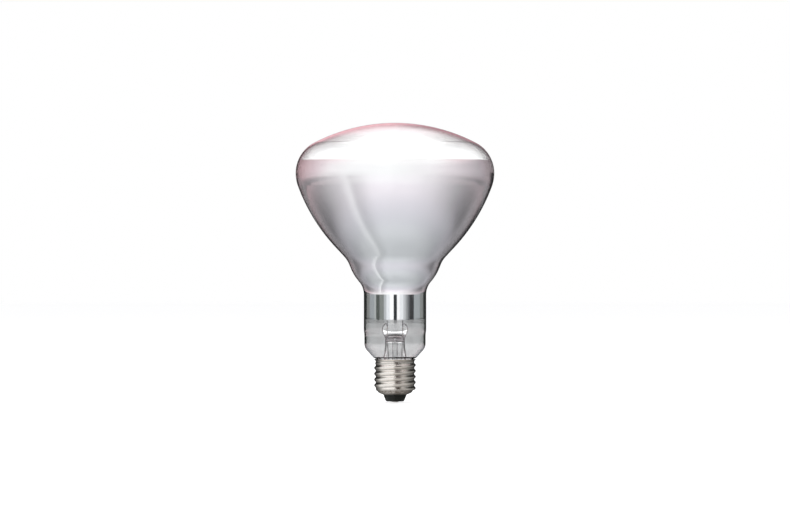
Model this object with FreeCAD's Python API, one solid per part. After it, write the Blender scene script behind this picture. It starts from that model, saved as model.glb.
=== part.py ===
import FreeCAD, Part
import math
import os

V = FreeCAD.Vector

# All sizes are in millimetres. The lamp stands on its cap's contact, with its
# axis on Z, its face upwards and its two leads side by side along X.

# Screw cap: rolled round thread, turned-in bottom and flared rim
thread_pitch = 3.629
thread_crest_diameter = 26.2
thread_root_diameter = 24.2
thread_arc = 1.025
thread_first_crest_z = 8.87
thread_start_z = 6.7
thread_end_z = 25.4
thread_bottom_fade = 2.0
thread_top_fade = 1.6
shell_wall = 0.25
shell_bottom_z = 4.75
shell_bottom_angle = 68.0
shell_corner_radius = 1.8
shell_cone_angle = 33.0
shell_knee_radius = 2.0
shell_knee_z = 9.3
rim_flare_radius = 1.6
rim_flare_angle = 58.0
rim_edge_length = 0.25

# Insulator and centre contact
insulator_top_radius = 7.3
insulator_foot_radius = 4.9
insulator_edge_radius = 1.1
insulator_bottom_z = 0.5
insulator_inner_height = 3.2
insulator_waist_gap = 0.2
insulator_hole_radius = 1.3
contact_radius = 3.4
contact_thickness = 0.4
contact_collar_height = 1.2
contact_hole_radius = 0.45
contact_solder_radius = 2.3
contact_solder_flat = 1.3
contact_solder_height = 0.45
contact_solder_bulge = 0.15

# Glass bulb, from the sealed tail in the cap up to the domed face
glass_wall = 1.0
seal_z = 22.0
tail_straight = 4.2
tail_bend_radius = 1.2
tail_cone_angle = 70.0
tail_cone_length = 1.2
tail_turn_radius = 2.2
skirt_angle = 42.0
skirt_bend_radius = 6.5
lower_neck_radius = 19.25
lower_neck_top_z = 41.5
neck_swell = 0.37
neck_swell_radius = 20.0
neck_top_z = 67.9
neck_bend_radius = 12.1
bowl_foot_angle = 41.2
bowl_radius = 30.6
waist_angle = 19.5
waist_radius = 16.8
reflector_angle = 42.9
reflector_straight = 8.25
reflector_radius = 114.0
under_angle = 20.3
under_radius = 24.3
shoulder_radius = 21.5
face_radius = 110.0

# Mirror layer on the inside of the glass
mirror_thickness = 0.15
mirror_gap = 0.1
mirror_low_z = 49.2
mirror_high_z = 153.2

# Cement between glass and shell, and the solder on the rim
cement_thickness = 0.95
cement_depth = 4.5
cement_show = 1.15
rim_solder_radius = 1.5
rim_solder_rise = 0.3
rim_solder_reach = 0.15

# Stem: flared tube below, flat pinched press above
flare_tube_radius = 6.2
flare_wall = 0.8
flare_start_z = 37.5
flare_rim_thickness = 1.1
flare_rim_bulge = 0.35
press_foot_z = 38.6
press_height = 11.3
press_width = 16.4
press_thickness = 4.3
press_sections = 8
press_pinch_share = 0.4
press_spread_start = 0.05
press_spread_end = 0.65
press_crown = 0.28
cavity_top_z = 38.9
cavity_round = 1.6
pump_hole_radius = 0.9
pump_hole_rise = 1.2

# Exhaust tube and the rod that carries the filament supports
exhaust_radius = 1.65
exhaust_wall = 0.5
exhaust_tip_z = 14.0
arbor_radius = 1.4
arbor_height = 38.0
button_radius = 3.0
button_height = 4.4

# Lead-in wires
lead_spacing = 9.6
inner_lead_diameter = 0.8
seal_wire_diameter = 0.4
outer_lead_diameter = 0.5
lead_depth_in_press = 2.5
lead_rise = 8.0
lead_bend = 3.0
outer_lead_bend = 1.5
outer_lead_gather = 1.3
contact_lead_turn_z = 11.15
shell_lead_diameter = 0.4
rim_wire_gap = 0.32
rim_wire_tail = 0.9

# Filament and its supports
filament_ring_radius = 14.0
filament_coil_diameter = 1.1
filament_z = 104.0
filament_gap_angle = 70.0
filament_tail = 3.0
support_count = 5
support_diameter = 0.35
support_sink = 1.4
support_loop_angle = 290.0

# Working clearances
wire_clearance = 0.03
seat_clearance = 0.05
glass_clearance = 0.1
loop_clearance = 0.1

# Overshoot of a cutting shape past the surface that it cuts
cut_margin = 1.0

# Sampling of the rolled thread's surface
shell_turn_steps = 40
shell_outline_step = 0.26

thread_root = thread_root_diameter / 2
thread_crest = thread_crest_diameter / 2
tail_radius = thread_root - shell_wall - cement_thickness
lead_x = lead_spacing / 2
press_top_z = press_foot_z + press_height


def normal(angle):
    """Unit vector to the outside of a path that climbs at an angle from the axis."""
    return V(math.cos(math.radians(angle)), 0, -math.sin(math.radians(angle)))


def heading(angle):
    """Unit vector along a path that climbs at an angle from the axis."""
    return V(math.sin(math.radians(angle)), 0, math.cos(math.radians(angle)))


def bend_offset(angle, end_angle, radius):
    """Step from the start to the end of a bend between two headings."""
    side = 1 if end_angle > angle else -1
    return (normal(angle) - normal(end_angle)) * (side * radius)


def trace(start, angle, moves, inset=0.0):
    """Edges of a section path of tangent runs and bends, set in from it by a distance.

    A move is ("run", length) or ("bend", radius, end_angle); angles in degrees from +Z.
    """
    edges = []
    point = start
    for move in moves:
        here = point - normal(angle) * inset
        if move[0] == "run":
            point = point + heading(angle) * move[1]
            edges.append(Part.LineSegment(here, point - normal(angle) * inset).toShape())
            continue
        radius, end_angle = move[1], move[2]
        middle = (angle + end_angle) / 2
        halfway = point + bend_offset(angle, middle, radius) - normal(middle) * inset
        point = point + bend_offset(angle, end_angle, radius)
        angle = end_angle
        there = point - normal(angle) * inset
        there.x = max(there.x, 0.0)
        edges.append(Part.Arc(here, halfway, there).toShape())
    return edges


def first_point(edges):
    return edges[0].firstVertex().Point


def last_point(edges):
    return edges[-1].lastVertex().Point


def line(start, end):
    return Part.LineSegment(start, end).toShape()


def spin(shape):
    """Revolve a section in the XZ plane all round the axis."""
    return shape.revolve(V(0, 0, 0), V(0, 0, 1), 360)


def section(edges):
    """Face of a closed outline in the XZ plane."""
    return Part.Face(Part.Wire(Part.__sortEdges__(edges)))


def outline(points):
    """Face of a polygon given as (radius, height) pairs."""
    corners = [V(radius, 0, height) for radius, height in points]
    return Part.Face(Part.makePolygon(corners + corners[:1]))


def band(inner, outer, low, high):
    """Rectangular section between two radii and two heights."""
    return outline([(inner, low), (outer, low), (outer, high), (inner, high)])


def glass_moves():
    """Runs and bends of the bulb's outside, from the tail up to the top of the face."""
    moves = [
        ("run", tail_straight),
        ("bend", tail_bend_radius, tail_cone_angle),
        ("run", tail_cone_length),
        ("bend", tail_turn_radius, skirt_angle),
    ]
    place = walk(V(tail_radius, 0, seal_z), 0.0, moves)
    skirt_bend = bend_offset(skirt_angle, 0.0, skirt_bend_radius)
    skirt_run = (lower_neck_radius - place.x - skirt_bend.x) / math.sin(math.radians(skirt_angle))
    moves += [("run", skirt_run), ("bend", skirt_bend_radius, 0.0)]
    place = walk(V(tail_radius, 0, seal_z), 0.0, moves)
    swell_angle = math.degrees(math.acos(1 - neck_swell / (2 * neck_swell_radius)))
    moves += [
        ("run", lower_neck_top_z - place.z),
        ("bend", neck_swell_radius, swell_angle),
        ("bend", neck_swell_radius, 0.0),
    ]
    place = walk(V(tail_radius, 0, seal_z), 0.0, moves)
    moves += [
        ("run", neck_top_z - place.z),
        ("bend", neck_bend_radius, bowl_foot_angle),
        ("bend", bowl_radius, waist_angle),
        ("bend", waist_radius, reflector_angle),
        ("run", reflector_straight),
        ("bend", reflector_radius, under_angle),
        ("bend", under_radius, 0.0),
    ]
    widest = walk(V(tail_radius, 0, seal_z), 0.0, moves)
    reach = (widest.x - shoulder_radius) / (face_radius - shoulder_radius)
    moves += [
        ("bend", shoulder_radius, math.degrees(math.asin(reach)) - 90),
        ("bend", face_radius, -90.0),
    ]
    return moves


def walk(start, angle, moves):
    """Point that a list of runs and bends ends at."""
    point = start
    for move in moves:
        if move[0] == "run":
            point = point + heading(angle) * move[1]
        else:
            point = point + bend_offset(angle, move[2], move[1])
            angle = move[2]
    return point


def glass_path(inset):
    return trace(V(tail_radius, 0, seal_z), 0.0, glass_moves(), inset)


def filled_glass(inset):
    """Section from the axis to the bulb's outline, set in by a distance."""
    path = glass_path(inset)
    foot = V(0, 0, seal_z)
    return section(path + [line(foot, first_point(path)), line(foot, last_point(path))])


def glass_envelope():
    return spin(filled_glass(0.0).cut(filled_glass(glass_wall)))


def mirror_coating():
    outside = glass_wall + mirror_gap
    layer = filled_glass(outside).cut(filled_glass(outside + mirror_thickness))
    return spin(layer.common(band(1.0, 2 * face_radius, mirror_low_z, mirror_high_z)))


# Screw cap


def thread_rise(along):
    """Height of the rolled thread above its root, at a distance from a crest along the axis.

    Crest and root are arcs of one radius, joined by the line that touches both.
    """
    along = abs((along + thread_pitch / 2) % thread_pitch - thread_pitch / 2)
    crest_centre = thread_crest - thread_arc
    root_centre = thread_root + thread_arc
    half = thread_pitch / 2
    apart = math.hypot(root_centre - crest_centre, half)
    lean = math.atan2(half, root_centre - crest_centre) - math.acos(min(1, 2 * thread_arc / apart))
    crest_end = thread_arc * math.sin(lean)
    root_start = half - thread_arc * math.sin(lean)
    if along <= crest_end:
        return crest_centre + math.sqrt(thread_arc**2 - along**2) - thread_root
    if along >= root_start:
        return thread_arc - math.sqrt(thread_arc**2 - (half - along) ** 2)
    crest_height = crest_centre + thread_arc * math.cos(lean) - thread_root
    root_height = thread_arc * (1 - math.cos(lean))
    share = (along - crest_end) / (root_start - crest_end)
    return crest_height + share * (root_height - crest_height)


def ease(share):
    """Smooth step from 0 to 1."""
    share = min(max(share, 0.0), 1.0)
    return share * share * (3 - 2 * share)


def shell_moves():
    """Runs and bends of the shell's outside under its thread, from its hole up to its rim."""
    lean = math.tan(math.radians(shell_cone_angle))
    flat = heading(shell_bottom_angle)
    corner = bend_offset(shell_bottom_angle, shell_cone_angle, shell_corner_radius)
    knee = bend_offset(shell_cone_angle, 0.0, shell_knee_radius)
    width = thread_root - shell_hole_radius() - corner.x - knee.x
    height = shell_knee_z - shell_bottom_z - corner.z - knee.z
    # the flat run and the cone run together cover the width and the height that are left
    flat_run = (width - height * lean) / (flat.x - flat.z * lean)
    cone_run = (height - flat_run * flat.z) / heading(shell_cone_angle).z
    return [
        ("run", flat_run),
        ("bend", shell_corner_radius, shell_cone_angle),
        ("run", cone_run),
        ("bend", shell_knee_radius, 0.0),
        ("run", thread_end_z - shell_knee_z),
        ("bend", rim_flare_radius, rim_flare_angle),
        ("run", rim_edge_length),
    ]


def shell_hole_radius():
    return insulator_top_radius - 2 * seat_clearance


def shell_path(inset):
    start = V(shell_hole_radius(), 0, shell_bottom_z)
    return trace(start, shell_bottom_angle, shell_moves(), inset)


def square_to(before, after):
    """Outward unit vector square to the line between two points of an outline."""
    along = (after - before).normalize()
    return V(along.z, 0, -along.x)


def threaded_outline(places, turn, inset):
    """The shell's outline with the thread's rise on it, at a share of a turn, set in by a wall."""
    last = len(places) - 1
    raised = []
    for index, place in enumerate(places):
        out = square_to(places[max(index - 1, 0)], places[min(index + 1, last)])
        fade_in = ease((place.z - thread_start_z) / thread_bottom_fade)
        fade_out = ease((thread_end_z - place.z) / thread_top_fade)
        rise = thread_rise(place.z - thread_first_crest_z - thread_pitch * turn)
        raised.append(place + out * (rise * fade_in * fade_out))
    return [
        place - square_to(raised[max(index - 1, 0)], raised[min(index + 1, last)]) * inset
        for index, place in enumerate(raised)
    ]


def threaded_face(inset):
    """Smooth closed surface of the shell's wall, carried by one outline for each step round it."""
    path = Part.Wire(shell_path(0.0))
    places = path.discretize(Number=round(path.Length / shell_outline_step) + 1)
    # a closed cubic surface runs inside its poles by this share
    pull = (2 + math.cos(2 * math.pi / shell_turn_steps)) / 3
    grid = []
    for step in range(shell_turn_steps):
        swing = 2 * math.pi * step / shell_turn_steps
        column = threaded_outline(places, step / shell_turn_steps, inset)
        grid.append([V(p.x / pull * math.cos(swing), p.x / pull * math.sin(swing), p.z) for p in column])
    degree = 3
    spans = len(places) - degree
    wall = Part.BSplineSurface()
    wall.buildFromPolesMultsKnots(
        grid,
        [1] * (shell_turn_steps + 1),
        [degree + 1] + [1] * (spans - 1) + [degree + 1],
        list(range(shell_turn_steps + 1)),
        list(range(spans + 1)),
        True,
        False,
        degree,
        degree,
    )
    return wall.toShape()


def end_circles(face):
    """Lower and upper closed edge of a wall face."""
    closed = [edge for edge in face.Edges if edge.isClosed()]
    return sorted(closed, key=lambda edge: edge.CenterOfMass.z)


def cap_shell():
    """Thin sheet-metal cap with the thread rolled into its wall, inside and out."""
    outside = threaded_face(0.0)
    inside = threaded_face(shell_wall)
    ends = [Part.makeRuledSurface(*pair) for pair in zip(end_circles(outside), end_circles(inside))]
    solid = Part.makeSolid(Part.makeShell([outside, inside] + ends))
    if solid.Volume < 0:
        solid.reverse()
    return solid


def shell_inside(clearance):
    """Section of the room inside the shell's plain wall, less a clearance."""
    wall = shell_path(shell_wall + clearance)
    low, high = first_point(wall), last_point(wall)
    foot, top = V(0, 0, low.z), V(0, 0, high.z)
    return section(wall + [line(foot, low), line(high, top), line(foot, top)])


def rim_end(inset):
    """Edge point of the flared rim, on its outside or set in from it."""
    return last_point(shell_path(inset))


def cap_insulator():
    """Black glass button: a cone outside the shell, a waist in its hole and a seat inside it."""
    low = insulator_bottom_z
    cone_high = V(insulator_top_radius, 0, shell_bottom_z - seat_clearance)
    lean = insulator_lean()
    start = V(insulator_foot_radius, 0, low)
    edge = trace(start, 90.0, [("bend", insulator_edge_radius, lean)])
    outside = section(edge + [
        line(V(0, 0, low), start),
        line(last_point(edge), cone_high),
        line(cone_high, V(0, 0, cone_high.z)),
        line(V(0, 0, cone_high.z), V(0, 0, low)),
    ])
    inside_top = shell_bottom_z + insulator_inner_height
    seat = shell_inside(seat_clearance).common(band(0, thread_root, shell_bottom_z, inside_top))
    waist_reach = shell_hole_radius() - insulator_waist_gap
    waist = band(0, waist_reach, cone_high.z - cut_margin, shell_bottom_z + cut_margin)
    whole = spin(outside).fuse([spin(waist), spin(seat)]).removeSplitter()
    recess = spin(band(0, contact_radius + seat_clearance, low - cut_margin, contact_top_z()))
    hole = spin(band(0, insulator_hole_radius, low - cut_margin, inside_top + cut_margin))
    return whole.cut(recess).cut(hole).Solids[0]


def insulator_lean():
    """Angle from the axis of the cone whose rounded edge starts at the foot's radius."""
    width = insulator_top_radius - insulator_foot_radius
    height = shell_bottom_z - seat_clearance - insulator_bottom_z
    radius = insulator_edge_radius
    # the cone is the tangent from its top to the edge's circle about (foot, low + radius)
    across = math.atan2(width, height - radius)
    apart = math.hypot(width, height - radius)
    return math.degrees(across - math.asin(radius / apart))


def contact_top_z():
    return contact_solder_height + contact_thickness + seat_clearance


def centre_contact():
    """Pressed brass disc under the insulator, with a collar up into its hole."""
    low = contact_solder_height
    high = low + contact_thickness
    collar_radius = insulator_hole_radius - seat_clearance
    disc = band(contact_hole_radius, contact_radius, low, high)
    collar = band(contact_hole_radius, collar_radius, low, high + contact_collar_height)
    return spin(disc.fuse(collar).removeSplitter().Faces[0])


def contact_solder():
    """Domed drop of solder with a small worn flat at the very bottom."""
    high = contact_solder_height
    top = V(contact_solder_radius, 0, high)
    low = V(contact_solder_flat, 0, 0)
    chord = top - low
    swell = (top + low) * 0.5 + V(chord.z, 0, -chord.x).normalize() * contact_solder_bulge
    edges = [
        Part.Arc(low, swell, top).toShape(),
        line(top, V(0, 0, high)),
        line(V(0, 0, high), V(0, 0, 0)),
        line(V(0, 0, 0), low),
    ]
    return spin(section(edges))


def cement_top_z():
    return rim_end(0.0).z + cement_show


def cap_cement(shell_lead_channel):
    """Ring of dark cement that fills the gap between glass and shell and shows above the rim."""
    rim = rim_end(0.0)
    rim_top = rim_end(shell_wall).z + seat_clearance
    whole = band(0, rim.x, rim.z - cement_depth, cement_top_z())
    free = filled_glass(-glass_clearance)
    beyond = band(0, 2 * rim.x, shell_bottom_z, rim_top).cut(shell_inside(seat_clearance))
    ring = spin(whole.cut(free).cut(beyond).Faces[0])
    return ring.cut(shell_lead_channel)


# Stem


def flare_curve_radius():
    """Radius of the trumpet that starts tangent to the tube and ends at the tail's bore."""
    reach = tail_radius - glass_wall - flare_tube_radius
    drop = flare_start_z - seal_z
    return (reach**2 + drop**2) / (2 * reach)


def flare_section(inset):
    """Outline of the flared tube from its rim up to the press, as edges."""
    curve = flare_curve_radius()
    drop = flare_start_z - seal_z
    rim_angle = -math.degrees(math.asin(drop / curve))
    start = V(tail_radius - glass_wall, 0, seal_z)
    moves = [("bend", curve, 0.0), ("run", press_foot_z - flare_start_z)]
    return trace(start, rim_angle, moves, inset)


def ellipse_wire(half_width, half_depth, height):
    """Ellipse across the axis, wide along X."""
    if half_width > half_depth:
        curve = Part.Ellipse(V(0, 0, height), half_width, half_depth)
    else:
        curve = Part.Circle(V(0, 0, height), V(0, 0, 1), half_width)
    return Part.Wire(curve.toShape())


def press_outline(share):
    """Section of the press at a share of its height: round at the foot, wide and thin above."""
    pinched = ease(share / press_pinch_share)
    spread = ease((share - press_spread_start) / (press_spread_end - press_spread_start))
    past = max(share - press_spread_end, 0) / (1 - press_spread_end)
    crown = 1 - press_crown * past**2
    half_width = flare_tube_radius + spread * (press_width / 2 - flare_tube_radius)
    half_depth = flare_tube_radius + pinched * (press_thickness / 2 - flare_tube_radius)
    return ellipse_wire(crown * half_width, crown * half_depth, press_foot_z + share * press_height)


def press_block():
    """Tube end that was pinched flat round the leads while soft."""
    shares = [index / press_sections for index in range(press_sections + 1)]
    return Part.makeLoft([press_outline(share) for share in shares], True, False)


def stem_cavity():
    """Air inside the flared tube, with a rounded roof under the press."""
    wall = flare_section(flare_wall)
    bore = flare_tube_radius - flare_wall
    top = last_point(wall)
    roof_start = V(bore, 0, cavity_top_z - cavity_round)
    roof_end = V(bore - cavity_round, 0, cavity_top_z)
    lean = cavity_round * (1 - math.sqrt(0.5))
    roof = Part.Arc(roof_start, V(bore - lean, 0, cavity_top_z - lean), roof_end).toShape()
    wall[-1] = line(first_point(wall[-1:]), roof_start)
    foot = first_point(wall)
    low = seal_z - flare_rim_thickness - cut_margin
    edges = wall + [
        roof,
        line(roof_end, V(0, 0, cavity_top_z)),
        line(V(0, 0, cavity_top_z), V(0, 0, low)),
        line(V(0, 0, low), V(foot.x, 0, low)),
        line(V(foot.x, 0, low), foot),
    ]
    return spin(section(edges))


def stem_glass():
    """Flared tube and press in one fused piece of glass, with its wires' holes."""
    wall = flare_section(0.0)
    rim_low = seal_z - flare_rim_thickness
    start, top = first_point(wall), last_point(wall)
    rim_start = V(tail_radius, 0, seal_z)
    rim_end_low = V(tail_radius - glass_wall, 0, rim_low)
    chord = rim_end_low - rim_start
    swell = (rim_start + rim_end_low) * 0.5 + V(-chord.z, 0, chord.x).normalize() * flare_rim_bulge
    rim = Part.Arc(rim_start, swell, rim_end_low).toShape()
    edges = wall + [
        line(start, rim_start),
        rim,
        line(rim_end_low, V(0, 0, rim_low)),
        line(V(0, 0, rim_low), V(0, 0, top.z)),
        line(V(0, 0, top.z), top),
    ]
    body = spin(section(edges)).fuse(press_block()).cut(stem_cavity())
    for side in (-1, 1):
        body = body.cut(press_wire_hole(side))
    pump_z = cavity_top_z + pump_hole_rise
    bore = exhaust_radius - exhaust_wall
    passage = Part.makeCylinder(bore, pump_z - cavity_top_z, V(0, 0, cavity_top_z))
    hole = Part.makeCylinder(pump_hole_radius, 2 * flare_tube_radius, V(0, 0, pump_z), V(0, -1, 0))
    return body.cut(passage.fuse(hole)).removeSplitter()


def press_wire_hole(side):
    """Stepped hole for the inner lead, the seal wire and the outer lead on one side."""
    x = side * lead_x
    seal_low, seal_high = seal_wire_span()
    inner = rod(inner_lead_diameter + 2 * wire_clearance, x, seal_high, press_top_z + cut_margin)
    middle = rod(seal_wire_diameter + 2 * wire_clearance, x, seal_low, seal_high)
    outer = rod(outer_lead_diameter + 2 * wire_clearance, x, cavity_top_z - cavity_round, seal_low)
    return inner.fuse([middle, outer])


def rod(diameter, x, low, high):
    return Part.makeCylinder(diameter / 2, high - low, V(x, 0, low))


def seal_wire_span():
    return cavity_top_z + lead_depth_in_press, press_top_z - lead_depth_in_press


def exhaust_tube():
    """Glass tube from the stem's roof down into the cap, melted shut at its tip."""
    bore = exhaust_radius - exhaust_wall
    moves = [("bend", exhaust_radius, 0.0), ("run", cavity_top_z - exhaust_tip_z - exhaust_radius)]
    outside = trace(V(0, 0, exhaust_tip_z), 90.0, moves)
    hollow_low = exhaust_tip_z + 2 * exhaust_wall
    inside_moves = [("bend", bore, 0.0), ("run", cavity_top_z - hollow_low - bore)]
    inside = trace(V(0, 0, hollow_low), 90.0, inside_moves)
    ends = [
        line(last_point(outside), last_point(inside)),
        line(first_point(outside), first_point(inside)),
    ]
    return spin(section(outside + inside + ends))


def arbor():
    """Glass rod on the press with a swollen button that holds the support wires."""
    low = press_top_z
    button_low = low + arbor_height
    button_high = button_low + button_height
    # the button's sides are one arc through its widest point
    foot = V(arbor_radius, 0, button_low)
    top = V(arbor_radius, 0, button_high)
    belly = Part.Arc(foot, V(button_radius, 0, (button_low + button_high) / 2), top).toShape()
    edges = [
        line(V(0, 0, low), V(arbor_radius, 0, low)),
        line(V(arbor_radius, 0, low), foot),
        belly,
        line(top, V(0, 0, button_high)),
        line(V(0, 0, button_high), V(0, 0, low)),
    ]
    body = spin(section(edges))
    for place in support_places():
        body = body.cut(support_wire(place, support_diameter + 2 * wire_clearance))
    return body


# Wires


def wire_path(points, radius):
    """Straight runs between points, joined by tangent arcs of one radius or less."""
    edges = []
    start = points[0]
    for before, corner, after in zip(points, points[1:], points[2:]):
        back = (before - corner).normalize()
        ahead = (after - corner).normalize()
        turn = math.pi - back.getAngle(ahead)
        if turn < 0.001:
            continue
        shorter = min((before - corner).Length, (after - corner).Length)
        bend = min(radius, 0.45 * shorter / math.tan(turn / 2))
        cut = bend * math.tan(turn / 2)
        enter = corner + back * cut
        leave = corner + ahead * cut
        inward = (back + ahead).normalize()
        centre = corner + inward * (bend / math.cos(turn / 2))
        edges.append(line(start, enter))
        edges.append(Part.Arc(enter, centre - inward * bend, leave).toShape())
        start = leave
    edges.append(line(start, points[-1]))
    return Part.Wire(edges)


def round_wire(path, diameter):
    """Round wire swept along a path."""
    start = path.Edges[0].valueAt(path.Edges[0].FirstParameter)
    along = path.Edges[0].tangentAt(path.Edges[0].FirstParameter)
    profile = Part.Wire(Part.Circle(start, along, diameter / 2).toShape())
    return path.makePipeShell([profile], True, False)


def filament_end(side):
    """Centre of the coil's end on one side, and the direction out of it into the gap."""
    angle = math.radians(-90 + side * filament_gap_angle / 2)
    point = V(filament_ring_radius * math.cos(angle), filament_ring_radius * math.sin(angle), filament_z)
    out = V(side * math.sin(angle), -side * math.cos(angle), 0)
    return point, out


def inner_lead(side):
    """Stiff wire from the press up and forward to the end of the coil."""
    end, out = filament_end(side)
    elbow = end + out * filament_tail
    foot = V(side * lead_x, 0, seal_wire_span()[1])
    points = [
        foot,
        V(foot.x, 0, press_top_z + lead_rise),
        V(elbow.x, elbow.y, filament_z - 2 * lead_bend - filament_tail),
        elbow,
        end + out * seat_clearance,
    ]
    return round_wire(wire_path(points, lead_bend), inner_lead_diameter)


def seal_wire(side):
    low, high = seal_wire_span()
    return rod(seal_wire_diameter, side * lead_x, low + wire_clearance, high - wire_clearance)


def contact_lead():
    """Wire from the left of the press, past the exhaust tube, to the centre contact."""
    x = -lead_x
    gathered = x + outer_lead_gather
    points = [
        V(x, 0, seal_wire_span()[0]),
        V(x, 0, flare_start_z),
        V(gathered, 0, seal_z),
        V(gathered, 0, exhaust_tip_z + exhaust_radius),
        V(0, 0, contact_lead_turn_z),
        V(0, 0, contact_solder_height + seat_clearance),
    ]
    return round_wire(wire_path(points, outer_lead_bend), outer_lead_diameter)


def shell_lead_path():
    """Way of the wire from the right of the press, round the glass tail, over the rim at the back."""
    x = lead_x
    gathered = x - outer_lead_gather
    under = seal_z - flare_rim_thickness - 2 * shell_lead_diameter
    channel = tail_radius + cement_thickness / 2
    rim = rim_end(shell_wall)
    over_rim = rim - normal(tail_cone_angle) * rim_wire_gap
    end = over_rim + heading(tail_cone_angle) * rim_wire_tail
    points = [
        V(x, 0, seal_wire_span()[0]),
        V(x, 0, flare_start_z),
        V(gathered, 0, seal_z),
        V(gathered, outer_lead_gather, under),
        V(0, channel, under),
        V(0, channel, seal_z + tail_straight),
        V(0, over_rim.x, over_rim.z),
        V(0, end.x, end.z),
    ]
    return wire_path(points, 2 * shell_lead_diameter)


def shell_lead():
    return round_wire(shell_lead_path(), shell_lead_diameter)


def rim_solder(lead):
    """Small domed drop of solder over the rim at the back, round the end of the wire."""
    rim = rim_end(0.0)
    ball = Part.makeSphere(rim_solder_radius, V(0, rim.x + rim_solder_reach, rim.z + rim_solder_rise))
    inside = spin(shell_inside(-shell_wall - seat_clearance))
    collar = spin(band(0, rim.x + seat_clearance, rim.z - cut_margin, cement_top_z() + seat_clearance))
    glass = spin(filled_glass(-glass_clearance))
    return ball.cut(inside).cut(collar).cut(glass).cut(lead)


def filament():
    """Coil of fine tungsten wire, drawn as the tube that its turns fill."""
    sweep = 360 - filament_gap_angle
    ring = Part.makeTorus(
        filament_ring_radius, filament_coil_diameter / 2, V(0, 0, 0), V(0, 0, 1), 0, 360, sweep
    )
    ring.rotate(V(0, 0, 0), V(0, 0, 1), -90 + filament_gap_angle / 2)
    ring.translate(V(0, 0, filament_z))
    return ring


def support_places():
    """Directions of the supports, evenly spread along the coil, in degrees."""
    sweep = 360 - filament_gap_angle
    first = -90 + filament_gap_angle / 2
    return [first + sweep * (index + 1) / (support_count + 1) for index in range(support_count)]


def support_wire(direction, diameter):
    """Wire from the button to the coil, curled into an open loop round it."""
    loop = (filament_coil_diameter + support_diameter) / 2 + loop_clearance
    root = V(button_radius - support_sink, 0, press_top_z + arbor_height + button_height / 2)
    centre = V(filament_ring_radius, 0, filament_z)
    apart = centre - root
    rise = math.atan2(apart.z, apart.x) - math.asin(loop / apart.Length)
    reach = math.sqrt(apart.Length**2 - loop**2)
    touch = root + V(math.cos(rise), 0, math.sin(rise)) * reach

    def on_loop(turned):
        angle = rise - math.pi / 2 + math.radians(turned)
        return centre + V(math.cos(angle), 0, math.sin(angle)) * loop

    curl = Part.Arc(touch, on_loop(support_loop_angle / 2), on_loop(support_loop_angle)).toShape()
    wire = round_wire(Part.Wire([line(root, touch), curl]), diameter)
    wire.rotate(V(0, 0, 0), V(0, 0, 1), direction)
    return wire


def build():
    """Every piece of the lamp by its name."""
    shell_wire = shell_lead()
    channel = round_wire(shell_lead_path(), shell_lead_diameter + 2 * wire_clearance)
    pieces = {
        "glass_envelope": glass_envelope(),
        "mirror_coating": mirror_coating(),
        "stem_glass": stem_glass(),
        "exhaust_tube": exhaust_tube(),
        "arbor": arbor(),
        "filament": filament(),
        "cap_shell": cap_shell(),
        "cap_cement": cap_cement(channel),
        "cap_insulator": cap_insulator(),
        "centre_contact": centre_contact(),
        "contact_solder": contact_solder(),
        "contact_lead": contact_lead(),
        "shell_lead": shell_wire,
        "rim_solder": rim_solder(channel),
    }
    for name, side in (("left", -1), ("right", 1)):
        pieces["inner_lead_" + name] = inner_lead(side)
        pieces["seal_wire_" + name] = seal_wire(side)
    for number, direction in enumerate(support_places(), start=1):
        pieces["support_wire_" + str(number)] = support_wire(direction, support_diameter)
    return pieces


os.makedirs("parts", exist_ok=True)
for name, shape in build().items():
    shape.exportStep("parts/" + name + ".step")
    print(name, shape.isValid(), len(shape.Solids), round(shape.Volume, 2))
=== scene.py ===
"""A reflector heat lamp in a plain white studio: silvered bowl, clear face and foot, screw cap."""

from __future__ import annotations

import logging
import math
from dataclasses import dataclass, field
from enum import Enum
from typing import Any, Callable, Mapping, Optional, Sequence, Union

import bpy
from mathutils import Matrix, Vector

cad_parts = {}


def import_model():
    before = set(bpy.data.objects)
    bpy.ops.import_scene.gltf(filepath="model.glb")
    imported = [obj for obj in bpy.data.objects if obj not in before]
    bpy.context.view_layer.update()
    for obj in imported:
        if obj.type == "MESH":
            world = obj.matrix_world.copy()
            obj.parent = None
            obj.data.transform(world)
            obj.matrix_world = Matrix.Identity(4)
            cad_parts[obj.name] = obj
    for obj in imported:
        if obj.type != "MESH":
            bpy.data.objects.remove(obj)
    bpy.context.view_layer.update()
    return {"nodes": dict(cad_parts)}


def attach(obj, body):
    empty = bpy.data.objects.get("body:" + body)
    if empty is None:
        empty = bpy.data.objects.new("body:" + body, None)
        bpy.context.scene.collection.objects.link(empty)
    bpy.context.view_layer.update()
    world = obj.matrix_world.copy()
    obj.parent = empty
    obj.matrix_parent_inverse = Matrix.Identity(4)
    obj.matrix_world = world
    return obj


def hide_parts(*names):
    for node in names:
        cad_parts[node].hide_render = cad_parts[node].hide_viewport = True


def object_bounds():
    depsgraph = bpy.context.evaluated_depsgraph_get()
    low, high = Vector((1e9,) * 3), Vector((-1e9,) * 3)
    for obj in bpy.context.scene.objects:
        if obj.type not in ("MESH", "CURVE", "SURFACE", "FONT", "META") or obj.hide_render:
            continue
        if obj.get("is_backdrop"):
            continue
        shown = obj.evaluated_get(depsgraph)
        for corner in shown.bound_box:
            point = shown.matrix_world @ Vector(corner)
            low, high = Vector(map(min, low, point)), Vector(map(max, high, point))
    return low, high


LOG = logging.getLogger("heat_lamp")
ROOT_BODY = "root"
MM = 0.001

Point = tuple[float, float, float]
Colour = tuple[float, float, float]
Span = tuple[float, float]
Stops = Sequence[tuple[float, Colour]]

WHITE: Colour = (1.0, 1.0, 1.0)


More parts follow.
